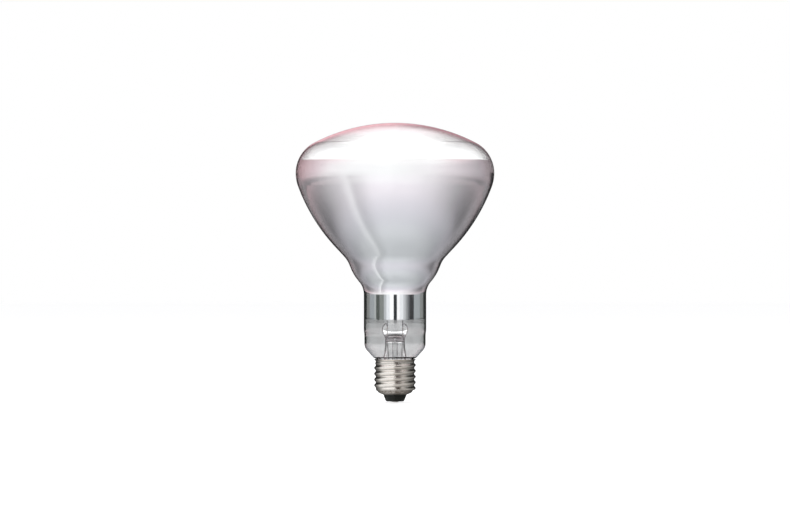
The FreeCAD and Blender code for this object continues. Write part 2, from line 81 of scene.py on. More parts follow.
class Step(Enum):
    """Operations of a Math node that the finishes use."""

    ADD = "ADD"
    SUBTRACT = "SUBTRACT"
    MULTIPLY = "MULTIPLY"
    DIVIDE = "DIVIDE"
    POWER = "POWER"
    ABSOLUTE = "ABSOLUTE"
    TURN = "ARCTAN2"
    MAXIMUM = "MAXIMUM"
    MINIMUM = "MINIMUM"


class Signal:
    """One output socket of a shader tree, usable in plain arithmetic."""

    def __init__(self, tree: ShaderTree, socket: bpy.types.NodeSocket) -> None:
        """Wrap a socket.

        Args:
            tree: The tree that the socket belongs to.
            socket: The output socket.
        """
        self.tree = tree
        self.socket = socket

    def side(self, output: str) -> Signal:
        """Return another output of the same node."""
        return Signal(self.tree, self.socket.node.outputs[output])

    def __add__(self, other: Value) -> Signal:
        """Return the sum."""
        return self.tree.math(Step.ADD, self, other)

    def __radd__(self, other: float) -> Signal:
        """Return the sum with a number on the left."""
        return self.tree.math(Step.ADD, other, self)

    def __sub__(self, other: Value) -> Signal:
        """Return the difference."""
        return self.tree.math(Step.SUBTRACT, self, other)

    def __rsub__(self, other: float) -> Signal:
        """Return a number less this signal."""
        return self.tree.math(Step.SUBTRACT, other, self)

    def __mul__(self, other: Value) -> Signal:
        """Return the product."""
        return self.tree.math(Step.MULTIPLY, self, other)

    def __rmul__(self, other: float) -> Signal:
        """Return the product with a number on the left."""
        return self.tree.math(Step.MULTIPLY, other, self)

    def __truediv__(self, other: Value) -> Signal:
        """Return the quotient."""
        return self.tree.math(Step.DIVIDE, self, other)

    def __pow__(self, other: Value) -> Signal:
        """Return this signal raised to a power."""
        return self.tree.math(Step.POWER, self, other)

    def __abs__(self) -> Signal:
        """Return the distance from nought."""
        return self.tree.math(Step.ABSOLUTE, self)


Value = Union[Signal, float, int, Sequence[float]]


class ShaderTree:
    """Builds the nodes of one material or world."""

    def __init__(self, tree: bpy.types.NodeTree) -> None:
        """Start from an empty tree.

        Args:
            tree: The node tree to fill.
        """
        self.nodes = tree.nodes
        self.links = tree.links
        self.nodes.clear()

    def node(
        self,
        kind: str,
        settings: Optional[Mapping[str, Any]] = None,
        sockets: Optional[Mapping[Union[str, int], Value]] = None,
        output: Union[str, int] = 0,
    ) -> Signal:
        """Add a node.

        Args:
            kind: The node's type.
            settings: Its own settings, set first; "stops" are a colour ramp's (place, colour) pairs.
            sockets: Values or signals for its inputs, by name or number.
            output: The output that is wanted.

        Returns:
            The chosen output.
        """
        node = self.nodes.new(kind)
        for name, value in (settings or {}).items():
            if name == "stops":
                self._set_stops(node.color_ramp, value)
            else:
                setattr(node, name, value.value if isinstance(value, Enum) else value)
        for name, value in (sockets or {}).items():
            self._feed(node.inputs[name], value)
        if not node.outputs:
            return Signal(self, node.inputs[0])
        return Signal(self, node.outputs[output])

    def _feed(self, socket: bpy.types.NodeSocket, value: Value) -> None:
        """Link a signal to an input, or set the input's own value.

        Args:
            socket: The input.
            value: The signal or value.
        """
        if isinstance(value, Signal):
            self.links.new(value.socket, socket)
        elif isinstance(value, (int, float)):
            socket.default_value = value
        elif socket.type == "RGBA":
            socket.default_value = (*value[:3], 1.0)
        else:
            socket.default_value = tuple(value)

    @staticmethod
    def _set_stops(ramp: bpy.types.ColorRamp, stops: Stops) -> None:
        """Give a colour ramp its stops.

        Args:
            ramp: The colour ramp.
            stops: Pairs of place and colour.
        """
        while len(ramp.elements) < len(stops):
            ramp.elements.new(1.0)
        for element, (place, colour) in zip(ramp.elements, stops):
            element.position = place
            element.color = (*colour, 1.0)

    def math(self, step: Step, first: Value, second: Value = 0.0) -> Signal:
        """Return the result of a Math node."""
        return self.node("ShaderNodeMath", {"operation": step}, {0: first, 1: second})

    def mix(self, share: Value, low: Value, high: Value) -> Signal:
        """Return a colour between two colours."""
        return self.node("ShaderNodeMix", {"data_type": "RGBA"}, {0: share, 6: low, 7: high}, 2)

    def rise(self, value: Value, low: Value, high: Value) -> Signal:
        """Return a smooth step from 0 to 1 as a value goes from low to high."""
        sockets = {"Value": value, "From Min": low, "From Max": high}
        return self.node("ShaderNodeMapRange", {"interpolation_type": "SMOOTHSTEP"}, sockets)

    def swing(self, angle: Value, span: Span) -> Signal:
        """Return a smooth step from 0 to 1 as an angle in radians passes a span in degrees."""
        return self.rise(angle, math.radians(span[0]), math.radians(span[1]))

    def place(self) -> Signal:
        """Return the position on the object in its own frame, in metres."""
        return self.node("ShaderNodeTexCoord", output="Object")

    def split(self, vector: Value) -> tuple[Signal, Signal, Signal]:
        """Return the three parts of a vector."""
        x = self.node("ShaderNodeSeparateXYZ", sockets={0: vector}, output="X")
        return x, x.side("Y"), x.side("Z")

    def stretched(self, vector: Value, factors: Point) -> Signal:
        """Return a vector with its parts multiplied."""
        return self.node("ShaderNodeVectorMath", {"operation": "MULTIPLY"}, {0: vector, 1: factors})

    def noise(self, vector: Value, scale: float, detail: float = 2.0, rough: float = 0.5) -> Signal:
        """Return noise from 0 to 1.

        Args:
            vector: Where the noise is read.
            scale: Bumps for each metre.
            detail: Number of finer layers.
            rough: Strength of the finer layers.

        Returns:
            The noise.
        """
        sockets = {"Vector": vector, "Scale": scale, "Detail": detail, "Roughness": rough}
        return self.node("ShaderNodeTexNoise", sockets=sockets)

    def bump(self, height: Value, distance: float) -> Signal:
        """Return a normal that shows a height from 0 to 1 times a distance in metres."""
        sockets = {"Strength": 1.0, "Distance": distance, "Height": height}
        return self.node("ShaderNodeBump", sockets=sockets)

    def principled(self, **sockets: Value) -> Signal:
        """Return a Principled shader; an underscore in a name stands for a space."""
        named = {name.replace("_", " "): value for name, value in sockets.items()}
        return self.node("ShaderNodeBsdfPrincipled", sockets=named)


def new_material(name: str) -> tuple[bpy.types.Material, ShaderTree]:
    """Make a material.

    Args:
        name: Its name.

    Returns:
        The material and its empty tree.
    """
    made = bpy.data.materials.new(name)
    made.use_nodes = True
    return made, ShaderTree(made.node_tree)


@dataclass(frozen=True)
class Finish:
    """A surface finish under the name of its material."""

    name: str

    def shade(self, tree: ShaderTree) -> Signal:
        """Build the shader.

        Args:
            tree: The material's empty tree.

        Returns:
            The shader's output.
        """
        raise NotImplementedError

    def material(self) -> bpy.types.Material:
        """Make the material on first use.

        Returns:
            The material.
        """
        made = bpy.data.materials.get(self.name)
        if made is None:
            made, tree = new_material(self.name)
            sockets = {"Surface": self.shade(tree)}
            inner = self.fill(tree)
            if inner is not None:
                sockets["Volume"] = inner
            tree.node("ShaderNodeOutputMaterial", sockets=sockets)
        return made

    def fill(self, tree: ShaderTree) -> Optional[Signal]:
        """Return the shader of the inside, or None where nothing shows it."""
        return None

    def dress(self, *pieces: bpy.types.Object) -> None:
        """Put the finish on every face of the pieces.

        Args:
            pieces: Mesh objects.
        """
        for piece in pieces:
            piece.data.materials.clear()
            piece.data.materials.append(self.material())


@dataclass(frozen=True)
class ClearGlass(Finish):
    """Blown or drawn glass with faint ripples."""

    tint: Colour = (0.975, 0.977, 0.977)
    ior: float = 1.47
    ripple_mm: float = 0.012
    ripple_scale: float = 60.0
    ripple_stretch: Point = (1.0, 1.0, 0.4)
    roughness: float = 0.008
    roughness_scale: float = 9.0
    smoke: Colour = (0.3, 0.32, 0.32)
    density: float = 185.0

    def shade(self, tree: ShaderTree) -> Signal:
        """Build clear glass.

        Args:
            tree: The material's empty tree.

        Returns:
            The shader's output.
        """
        place = tree.place()
        ripple = tree.noise(tree.stretched(place, self.ripple_stretch), self.ripple_scale, 1.0)
        return tree.principled(
            Base_Color=self.tint,
            Roughness=self.roughness * tree.noise(place, self.roughness_scale, 3.0),
            IOR=self.ior,
            Transmission_Weight=1.0,
            Normal=tree.bump(ripple, self.ripple_mm * MM),
        )

    def fill(self, tree: ShaderTree) -> Optional[Signal]:
        """Return the glass's slight darkening with depth."""
        sockets = {"Color": self.smoke, "Density": self.density}
        return tree.node("ShaderNodeVolumeAbsorption", sockets=sockets)


@dataclass(frozen=True)
class SilverFilm(Finish):
    """Evaporated aluminium seen through the glass: crisp on the neck, satin on the bowl.

    The lower edge is wavy and thins out, more softly in front, and a faint haze reaches below it.
    Heights are in metres above the lamp's contact.
    """

    low_edge: float = 51.4 * MM
    lean: float = 1.0 * MM
    wave: float = 0.6 * MM
    wave_scale: float = 45.0
    cloud_scale: float = 260.0
    fade: float = 0.6 * MM
    front_fade: float = 2.2
    stain_span: Span = (0.4, 2.0)
    stain_turn: Span = (0.15, 0.75)
    haze_span: Span = (49.5 * MM, 49.8 * MM)
    haze_wave: float = 0.5 * MM
    haze_cover: float = 0.1
    high_span: Span = (151.8 * MM, 152.0 * MM)
    satin_span: Span = (68.0 * MM, 96.0 * MM)
    neck_roughness: float = 0.06
    bowl_roughness: float = 0.19
    mottle: float = 0.06
    mottle_scale: float = 35.0
    silver: Colour = (0.96, 0.96, 0.965)
    stain: Colour = (0.1, 0.1, 0.09)

    def shade(self, tree: ShaderTree) -> Signal:
        """Build the film, which thins out at its lower edge and stops sharply at the upper one.

        Args:
            tree: The material's empty tree.

        Returns:
            The shader's output.
        """
        place = tree.place()
        x, y, height = tree.split(place)
        radius = (x * x + y * y) ** 0.5
        cloud = tree.noise(place, self.cloud_scale, 4.0, 0.6)
        swell = tree.noise(place, self.wave_scale, 2.0) - 0.5
        side = tree.math(Step.MINIMUM, y / radius + 1.0, 1.0)
        fade = self.fade * (self.front_fade - (self.front_fade - 1.0) * side)
        edge = self.low_edge + side * self.lean + swell * self.wave
        above = height - edge + (cloud - 0.5) * self.fade
        dense = tree.rise(above, 0.0, fade)
        clean = tree.rise(above, self.stain_span[0] * fade, self.stain_span[1] * fade)
        stained = (1.0 - clean) * tree.rise(side, *self.stain_turn)
        haze = tree.rise(height + swell * self.haze_wave, *self.haze_span)
        hazy = haze * self.haze_cover * (0.6 + 0.8 * cloud)
        below_top = 1.0 - tree.rise(height, *self.high_span)
        mottle = self.mottle * (tree.noise(place, self.mottle_scale, 3.0) - 0.5)
        spread = self.bowl_roughness - self.neck_roughness + mottle
        return tree.principled(
            Base_Color=tree.mix(stained, self.silver, self.stain),
            Metallic=1.0,
            Roughness=self.neck_roughness + tree.rise(height, *self.satin_span) * spread,
            Alpha=tree.math(Step.MAXIMUM, dense, hazy) * below_top,
        )


@dataclass(frozen=True)
class PlatedBrass(Finish):
    """Nickel-plated sheet, warm in tone, with dirt and painted shade in the thread's roots, and darker
    towards the foot, the groove and the rim.

    Radii and heights are in metres, from the lamp's axis and above its contact.
    """

    bright: Colour = (0.9, 0.86, 0.82)
    dull: Colour = (0.17, 0.145, 0.125)
    root_span: Span = (11.9 * MM, 12.7 * MM)
    root_dirt_and_shade: float = 0.9
    under_facing: Span = (-0.3, 0.15)
    groove_height: float = 7.4 * MM
    groove_span: Span = (0.2 * MM, 0.5 * MM)
    groove_darkening: float = 0.5
    foot_span: Span = (7.7 * MM, 9.2 * MM)
    foot_darkening: float = 0.42
    rim_span: Span = (26.8 * MM, 27.1 * MM)
    rim_darkening: float = 0.8
    spot_scale: float = 900.0
    drawn_scale: float = 420.0
    drawn_stretch: Point = (1.0, 1.0, 14.0)
    drawn_depth: float = 0.01 * MM

    def shade(self, tree: ShaderTree) -> Signal:
        """Build the plating.

        Args:
            tree: The material's empty tree.

        Returns:
            The shader's output.
        """
        place = tree.place()
        x, y, height = tree.split(place)
        radius = (x * x + y * y) ** 0.5
        facing = tree.split(tree.node("ShaderNodeNewGeometry", output="Normal"))[2]
        under = 1.0 - tree.rise(facing, *self.under_facing)
        # Painted shade with dirt: the thread's roots darken where they face downwards.
        root = (1.0 - tree.rise(radius, *self.root_span)) * under
        # Darker towards the bottom of the shell.
        foot = 1.0 - tree.rise(height, *self.foot_span)
        # A darker band round the groove.
        groove = 1.0 - tree.rise(abs(height - self.groove_height), *self.groove_span)
        # A darker band at the rim.
        rim = tree.rise(height, *self.rim_span)
        worn = tree.rise(tree.noise(place, self.spot_scale, 4.0, 0.65), 0.35, 0.75)
        drawn = tree.noise(tree.stretched(place, self.drawn_stretch), self.drawn_scale, 2.0)
        below = self.foot_darkening * foot + self.groove_darkening * groove
        # Dirt and painted shade, spread unevenly by the worn noise.
        dirt_and_shade = tree.math(Step.MAXIMUM, self.root_dirt_and_shade * root, below)
        dirt_and_shade = tree.math(Step.MAXIMUM, dirt_and_shade, self.rim_darkening * rim) * (0.65 + 0.6 * worn)
        return tree.principled(
            Base_Color=tree.mix(dirt_and_shade, self.bright, self.dull),
            Metallic=1.0,
            Roughness=0.15 + 0.1 * drawn + 0.25 * dirt_and_shade,
            Normal=tree.bump(drawn, self.drawn_depth),
        )


@dataclass(frozen=True)
class Grainy(Finish):
    """Opaque finish with two mottled tones and a fine grain."""

    light: Colour = (0.5, 0.5, 0.5)
    dark: Colour = (0.3, 0.3, 0.3)
    metallic: float = 0.0
    roughness: float = 0.5
    spread: float = 0.15
    scale: float = 600.0
    grain_mm: float = 0.02
    specular: float = 0.5

    def shade(self, tree: ShaderTree) -> Signal:
        """Build the mottled surface.

        Args:
            tree: The material's empty tree.

        Returns:
            The shader's output.
        """
        place = tree.place()
        blotch = tree.noise(place, self.scale, 4.0, 0.6)
        fine = tree.noise(place, 4.0 * self.scale, 2.0)
        return tree.principled(
            Base_Color=tree.mix(tree.rise(blotch, 0.3, 0.7), self.dark, self.light),
            Metallic=self.metallic,
            Roughness=self.roughness + self.spread * (fine - 0.5),
            Specular_IOR_Level=self.specular,
            Normal=tree.bump(fine + blotch, self.grain_mm * MM),
        )


ENVELOPE_GLASS = ClearGlass("blown_glass")
STEM_GLASS = ClearGlass("drawn_glass", ior=1.52, ripple_mm=0.03, ripple_scale=220.0, density=60.0)
SILVER = SilverFilm("silver_film")
PLATING = PlatedBrass("plated_brass")
CEMENT = Grainy("baked_cement", (0.016, 0.011, 0.008), (0.006, 0.004, 0.003), 0.0, 0.85, 0.2, 900.0, 0.08)
BLACK_GLASS = Grainy(
    "moulded_black_glass", (0.008, 0.01, 0.008), (0.003, 0.004, 0.003), 0.0, 0.12, 0.08, 500.0, 0.03, 0.25
)
TIN = Grainy("dull_tin", (0.62, 0.61, 0.6), (0.4, 0.39, 0.38), 1.0, 0.38, 0.2, 700.0, 0.03)
BRASS = Grainy("pressed_brass", (0.72, 0.55, 0.32), (0.5, 0.38, 0.22), 1.0, 0.32, 0.15, 500.0, 0.02)
NICKEL_WIRE = Grainy("nickel_wire", (0.2, 0.185, 0.17), (0.1, 0.09, 0.08), 1.0, 0.35, 0.15, 900.0, 0.01)
SEAL_WIRE = Grainy("sealed_wire", (0.45, 0.24, 0.16), (0.25, 0.12, 0.08), 1.0, 0.4, 0.15, 900.0, 0.01)
HOOK_WIRE = Grainy("hook_wire", (0.48, 0.48, 0.5), (0.33, 0.33, 0.34), 1.0, 0.35, 0.15, 900.0, 0.01)
TUNGSTEN = Grainy("coiled_wire", (0.3, 0.3, 0.31), (0.16, 0.16, 0.17), 1.0, 0.45, 0.15, 1500.0, 0.01)


class MeshMaker:
    """Makes mesh objects from rows of points."""

    @staticmethod
    def grid(
        name: str, rows: Sequence[Sequence[Point]], round_rows: bool = False, ends: bool = True
    ) -> bpy.types.Object:
        """Make a surface from rows of points.

        Args:
            name: The object's name.
            rows: Rows with as many points each.
            round_rows: Whether each row closes on itself.
            ends: Whether round rows get a face at each end.

        Returns:
            The linked object with smooth faces.
        """
        points = [point for row in rows for point in row]
        width = len(rows[0])
        reach = width if round_rows else width - 1
        faces = [
            (
                row * width + column,
                row * width + (column + 1) % width,
                (row + 1) * width + (column + 1) % width,
                (row + 1) * width + column,
            )
            for row in range(len(rows) - 1)
            for column in range(reach)
        ]
        if round_rows and ends:
            faces.append(tuple(reversed(range(width))))
            faces.append(tuple(range((len(rows) - 1) * width, len(rows) * width)))
        mesh = bpy.data.meshes.new(name)
        mesh.from_pydata(points, [], faces)
        mesh.polygons.foreach_set("use_smooth", [True] * len(mesh.polygons))
        made = bpy.data.objects.new(name, mesh)
        bpy.context.scene.collection.objects.link(made)
        return made

    @staticmethod
    def tube(name: str, line: Sequence[Vector], radius: float, sides: int) -> bpy.types.Object:
        """Make a closed tube along a line.

        Args:
            name: The object's name.
            line: Points of the centre line.
            radius: The tube's radius.
            sides: Number of sides.

        Returns:
            The tube.
        """
        rows = []
        across = (line[1] - line[0]).orthogonal().normalized()
        for index, point in enumerate(line):
            ahead = line[min(index + 1, len(line) - 1)] - line[max(index - 1, 0)]
            ahead.normalize()
            across = (across - ahead * across.dot(ahead)).normalized()
            beside = ahead.cross(across)
            turns = [2 * math.pi * side / sides for side in range(sides)]
            rows.append([
                tuple(point + (across * math.cos(turn) + beside * math.sin(turn)) * radius)
                for turn in turns
            ])
        return MeshMaker.grid(name, rows, round_rows=True)


@dataclass
class Envelope:
    """The blown glass and the silver inside it."""

    glass_node: str = "glass_envelope"
    film_node: str = "mirror_coating"

    def dress(self, nodes: Mapping[str, bpy.types.Object]) -> list[str]:
        """Give both layers their finish.

        Args:
            nodes: The model's nodes by name.

        Returns:
            Names of what was dressed.
        """
        ENVELOPE_GLASS.dress(nodes[self.glass_node])
        SILVER.dress(nodes[self.film_node])
        return [self.glass_node, self.film_node]


@dataclass
class Stem:
    """Glass mount with its tube, rod and wires."""

    glass_nodes: tuple[str, ...] = ("stem_glass", "exhaust_tube", "arbor")
    lead_nodes: tuple[str, ...] = ("contact_lead", "shell_lead", "inner_lead_left", "inner_lead_right")
    seal_nodes: tuple[str, ...] = ("seal_wire_left", "seal_wire_right")
    hook_prefix: str = "support_wire_"

    def dress(self, nodes: Mapping[str, bpy.types.Object]) -> list[str]:
        """Give the glass and the wires their finish.

        Args:
            nodes: The model's nodes by name.

        Returns:
            Names of what was dressed.
        """
        hooks = [name for name in nodes if name.startswith(self.hook_prefix)]
        STEM_GLASS.dress(*(nodes[name] for name in self.glass_nodes))
        NICKEL_WIRE.dress(*(nodes[name] for name in self.lead_nodes))
        SEAL_WIRE.dress(*(nodes[name] for name in self.seal_nodes))
        HOOK_WIRE.dress(*(nodes[name] for name in hooks))
        return [*self.glass_nodes, *self.lead_nodes, *self.seal_nodes, *hooks]


@dataclass
class Filament:
    """Ring of fine coiled wire in the place of its plain tube."""

    node: str = "filament"
    ring_radius: float = 14.0 * MM
    coil_radius: float = 0.55 * MM
    wire_radius: float = 0.09 * MM
    height: float = 104.0 * MM
    gap_degrees: float = 70.0
    turns: int = 190
    steps_per_turn: int = 14
    sides: int = 6

    def centre_line(self) -> list[Vector]:
        """Work out the coiled wire.

        Returns:
            Points of its centre line.
        """
        start = math.radians(-90 + self.gap_degrees / 2)
        sweep = math.radians(360 - self.gap_degrees)
        count = self.turns * self.steps_per_turn
        reach = self.coil_radius - self.wire_radius
        line = []
        for index in range(count + 1):
            share = index / count
            angle = start + sweep * share
            turn = 2 * math.pi * self.turns * share
            radius = self.ring_radius + reach * math.cos(turn)
            up = self.height + reach * math.sin(turn)
            line.append(Vector((radius * math.cos(angle), radius * math.sin(angle), up)))
        return line

    def build(self) -> bpy.types.Object:
        """Make the coil and let it stand for the plain ring.

        Returns:
            The coil.
        """
        coil = MeshMaker.tube("filament_coil", self.centre_line(), self.wire_radius, self.sides)
        TUNGSTEN.dress(coil)
        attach(coil, ROOT_BODY)
        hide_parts(self.node)
        return coil


@dataclass
class Cap:
    """Screw shell, its cement and the contact below."""

    finishes: Mapping[str, Finish] = field(default_factory=lambda: {
        "cap_shell": PLATING,
        "cap_cement": CEMENT,
        "cap_insulator": BLACK_GLASS,
        "centre_contact": BRASS,
        "contact_solder": TIN,
        "rim_solder": TIN,
    })

    def dress(self, nodes: Mapping[str, bpy.types.Object]) -> list[str]:
        """Give each piece its finish.

        Args:
            nodes: The model's nodes by name.

        Returns:
            Names of what was dressed.
        """
        for name, finish in self.finishes.items():
            finish.dress(nodes[name])
        return list(self.finishes)


@dataclass(frozen=True)
class Card:
    """Low upright panel round the lamp that only reflections show; angles in degrees."""

    name: str
    azimuth: float
    width: float
    tone: Colour
    low: float = 0.0
    high: float = 0.076
    distance: float = 0.8


@dataclass(frozen=True)
class Lamp:
    """Square soft lamp; its place and side in metres, its power in watts."""

    name: str
    place: Point
    size: float
    power: float


@dataclass(frozen=True)
class Surroundings:
    """What the silver and the cap mirror: bright in front and above, dimmer and rosy behind.

    Azimuths and turns are in degrees from the front, positive to the right, and reaches are distances
    from the lamp in metres. What ends in _up, _aside, _depth or _change is a span of one part of a
    direction.
    """

    gain: float = 1.55
    horizon: Stops = (
        (-180.0, (0.6, 0.41, 0.44)),
        (-148.0, (0.61, 0.41, 0.44)),
        (-134.0, (0.67, 0.48, 0.51)),
        (-108.0, (0.76, 0.62, 0.66)),
        (-85.0, (0.88, 0.83, 0.85)),
        (-55.0, (0.92, 0.91, 0.92)),
        (0.0, (0.94, 0.94, 0.94)),
        (42.0, (0.88, 0.85, 0.87)),
        (66.0, (0.78, 0.72, 0.75)),
        (90.0, (0.63, 0.57, 0.6)),
        (112.0, (0.5, 0.45, 0.48)),
        (140.0, (0.43, 0.36, 0.38)),
        (180.0, (0.4, 0.33, 0.35)),
    )
    outside: Stops = (
        (-180.0, (0.015, 0.015, 0.014)),
        (-125.0, (0.03, 0.03, 0.028)),
        (-102.0, (0.25, 0.25, 0.24)),
        (-86.0, (0.85, 0.85, 0.84)),
        (-68.0, (1.06, 1.06, 1.06)),
        (-12.0, (1.04, 1.04, 1.03)),
        (0.0, (0.62, 0.6, 0.58)),
        (40.0, (0.52, 0.5, 0.48)),
        (62.0, (0.48, 0.47, 0.45)),
        (80.0, (0.27, 0.27, 0.26)),
        (100.0, (0.12, 0.12, 0.11)),
        (122.0, (0.03, 0.03, 0.028)),
        (180.0, (0.015, 0.015, 0.014)),
    )
    near_shade: Stops = (
        (0.0, (0.4, 0.41, 0.43)),
        (0.047, (0.52, 0.54, 0.56)),
        (0.078, (0.64, 0.655, 0.68)),
        (0.106, (0.63, 0.63, 0.675)),
        (0.147, (0.72, 0.695, 0.75)),
        (0.202, (0.885, 0.835, 0.885)),
        (0.3, (0.95, 0.91, 0.95)),
    )
    shadow: Colour = (0.013, 0.014, 0.016)
    middle: float = -5.0
    behind_turn: Span = (12.0, 124.0)
    near_cover: float = 0.45
    near_reach: Span = (0.0, 0.1)
    back_cover: float = 0.37
    back_reach: Span = (0.12, 0.21)
    rear_lift: float = 0.2
    cover_turn: Span = (118.0, 138.0)
    far_reach: Span = (0.2, 0.55)
    far_dim: float = 0.08
    far_dim_reach: Span = (1.5, 8.0)
    near_dim: float = 0.13
    near_dim_reach: Span = (0.35, 1.0)
    rear_dim: float = 0.93
    rear_turn: Span = (143.0, 160.0)
    table_grey: Colour = (0.53, 0.44, 0.465)
    table_cover: float = 0.85
    table_reach: Span = (0.3, 0.7)
    table_reach_behind: Span = (0.8, 2.4)
    bare_turn: Span = (130.0, 147.0)
    # Painted light and painted shadow: a pale streak on the mirrored floor with a shadow edge beside it.
    streak_azimuth: float = -55.0
    streak_light: Span = (-14.0, 0.0)
    streak_edge: Span = (0.0, 2.45)
    streak_shade: Span = (3.5, 31.5)
    streak_light_gain: float = 0.42
    streak_shadow_dip: float = 0.24
    streak_far_loss: float = 0.75
    floor_share: float = 0.22
    floor_glow: Colour = (0.52, 0.52, 0.51)
    open_turn: Span = (118.0, 150.0)
    patch: float = 19.0
    patch_edge: Span = (18.0, 20.0)
    patch_reach: Span = (0.1, 0.25)
    patch_tone: Colour = (0.055, 0.04, 0.032)
    overcast: Colour = (0.92, 0.76, 0.79)
    overcast_up: Span = (0.26, 0.6)
    front_overcast: Colour = (1.0, 0.985, 0.985)
    front_turn: Span = (50.0, 100.0)
    left_rose: Colour = (1.3, 0.72, 0.8)
    right_rose: Colour = (0.6, 0.3, 0.34)
    rose_change: Span = (-0.01, 0.06)
    rose_depth: Span = (0.05, 0.4)
    rose_up: Span = (0.04, 0.2)
    pale: Colour = (1.6, 1.4, 1.45)
    pale_up: Span = (0.35, 0.62)
    gloom: Colour = (0.02, 0.02, 0.019)
    gloom_aside: Span = (0.09, 0.2)
    overhead: Colour = (4.5, 4.5, 4.5)
    overhead_up: Span = (0.62, 0.85)
    overhead_aside: Span = (0.25, 0.35)

    @staticmethod
    def azimuth(tree: ShaderTree, vector: Value) -> Signal:
        """Return the direction of a vector from the front, in radians."""
        x, y, _ = tree.split(vector)
        return tree.math(Step.TURN, x, 0.0 - y)

    @staticmethod
    def from_inside(tree: ShaderTree) -> Signal:
        """Return 1 for a ray that has been through glass, else 0."""
        depth = tree.node("ShaderNodeLightPath", output="Transmission Depth")
        return tree.math(Step.MINIMUM, depth, 1.0)

    @staticmethod
    def ring(tree: ShaderTree, azimuth: Signal, tones: Stops) -> Signal:
        """Return the colour in a direction.

        Args:
            tree: The tree in use.
            azimuth: The direction in radians.
            tones: Pairs of degrees and colour.

        Returns:
            The colour.
        """
        stops = [(angle / 360 + 0.5, colour) for angle, colour in tones]
        share = azimuth / (2 * math.pi) + 0.5
        return tree.node("ShaderNodeValToRGB", {"stops": stops}, {0: share})

    def round_about(self, tree: ShaderTree, azimuth: Signal) -> Signal:
        """Return the colour of the horizon in a direction, as the silver or an outer surface sees it."""
        outer = self.ring(tree, azimuth, self.outside)
        return tree.mix(self.from_inside(tree), outer, self.ring(tree, azimuth, self.horizon))

    def patched(self, tree: ShaderTree, azimuth: Signal) -> Signal:
        """Return how much of the dark patch before the cap an outer reflection shows, from 0 to 1."""
        beside = tree.swing(abs(azimuth - math.radians(self.patch)), self.patch_edge)
        return (1.0 - beside) * (1.0 - self.from_inside(tree))

    def sky(self, tree: ShaderTree, heading: Signal) -> Signal:
        """Return what reflections show of the room in a direction.

        Args:
            tree: The world's tree.
            heading: The direction.

        Returns:
            The colour.
        """
        x, y, up = tree.split(heading)
        azimuth = self.azimuth(tree, heading)
        inside = self.from_inside(tree)
        low = tree.mix(self.patched(tree, azimuth), self.round_about(tree, azimuth), self.patch_tone)
        overcast = tree.mix(tree.swing(abs(azimuth), self.front_turn), self.front_overcast, self.overcast)
        low = tree.mix(inside * tree.rise(up, *self.overcast_up), low, overcast)
        behind = tree.rise(y, *self.rose_depth) * tree.rise(up, *self.rose_up)
        return tree.mix(behind * (1.0 - inside), low, self.rear_sky(tree, x, up))

    def rear_sky(self, tree: ShaderTree, x: Signal, up: Signal) -> Signal:
        """Return what an outer reflection shows of the room above and behind the lamp.

        Args:
            tree: The world's tree.
            x: The direction's part to the right.
            up: The direction's part upwards.

        Returns:
            The colour.
        """
        rosy = tree.mix(tree.rise(x, *self.rose_change), self.left_rose, self.right_rose)
        rosy = tree.mix(tree.rise(up, *self.pale_up), rosy, self.pale)
        rosy = tree.mix(tree.rise(abs(x), *self.gloom_aside), rosy, self.gloom)
        over = tree.rise(up, *self.overhead_up) * (1.0 - tree.rise(abs(x), *self.overhead_aside))
        return tree.mix(over, rosy, self.overhead)

    def near_floor(self, tree: ShaderTree, radius: Signal, turned: Signal, behind: Signal) -> Signal:
        """Return what the silver shows of the floor close to the lamp.

        Args:
            tree: The floor's tree.
            radius: Distance from the lamp.
            turned: Angle from the middle in radians.
            behind: How far a place lies behind the lamp, from 0 to 1.

        Returns:
            The colour.
        """
        shade = tree.node("ShaderNodeValToRGB", {"stops": self.near_shade}, {0: radius})
        cover = self.near_cover * tree.rise(radius, *self.near_reach)
        cover = cover + self.back_cover * tree.rise(radius, *self.back_reach)
        cover = cover * (1.0 - self.rear_lift * tree.swing(turned, self.cover_turn))
        return tree.mix(behind * cover, shade, self.shadow)

    def far_floor(
        self, tree: ShaderTree, radius: Signal, turned: Signal, behind: Signal, around: Signal
    ) -> Signal:
        """Return what the silver shows of the grey table behind the lamp and of what lies beyond it.

        Args:
            tree: The floor's tree.
            radius: Distance from the lamp.
            turned: Angle from the middle in radians.
            behind: How far a place lies behind the lamp, from 0 to 1.
            around: Colour of the horizon beyond.

        Returns:
            The colour.
        """
        rearmost = tree.swing(turned, self.bare_turn)
        reaches = zip(self.table_reach, self.table_reach_behind)
        start, end = (beside + (rear - beside) * rearmost for beside, rear in reaches)
        bare = tree.rise(radius, start, end)
        table = tree.mix(self.table_cover * behind * (1.0 - bare), around, self.table_grey)
        dim = self.far_dim * (1.0 - tree.rise(radius, *self.far_dim_reach))
        dim = dim + self.near_dim * (1.0 - tree.rise(radius, *self.near_dim_reach))
        rear_dim = self.rear_dim * tree.swing(turned, self.rear_turn)
        return tree.mix(tree.math(Step.MAXIMUM, behind * dim, rear_dim), table, self.shadow)

    def streak(self, tree: ShaderTree, azimuth: Signal, away: Signal, shade: Signal) -> Signal:
        """Lay painted light and the painted shadow edge beside it over the floor, along one direction.

        Args:
            tree: The floor's tree.
            azimuth: Direction from the lamp in radians.
            away: How far off a place lies, from 0 to 1.
            shade: The floor's colour.

        Returns:
            The colour with the streak.
        """
        past = azimuth - math.radians(self.streak_azimuth)
        edge = tree.swing(past, self.streak_edge)
        close = 1.0 - self.streak_far_loss * away
        lit = tree.swing(past, self.streak_light) * (1.0 - edge) * self.streak_light_gain
        dip = edge * (1.0 - tree.swing(past, self.streak_shade)) * self.streak_shadow_dip
        return tree.mix(dip * close, tree.mix(lit * close, shade, WHITE), self.shadow)

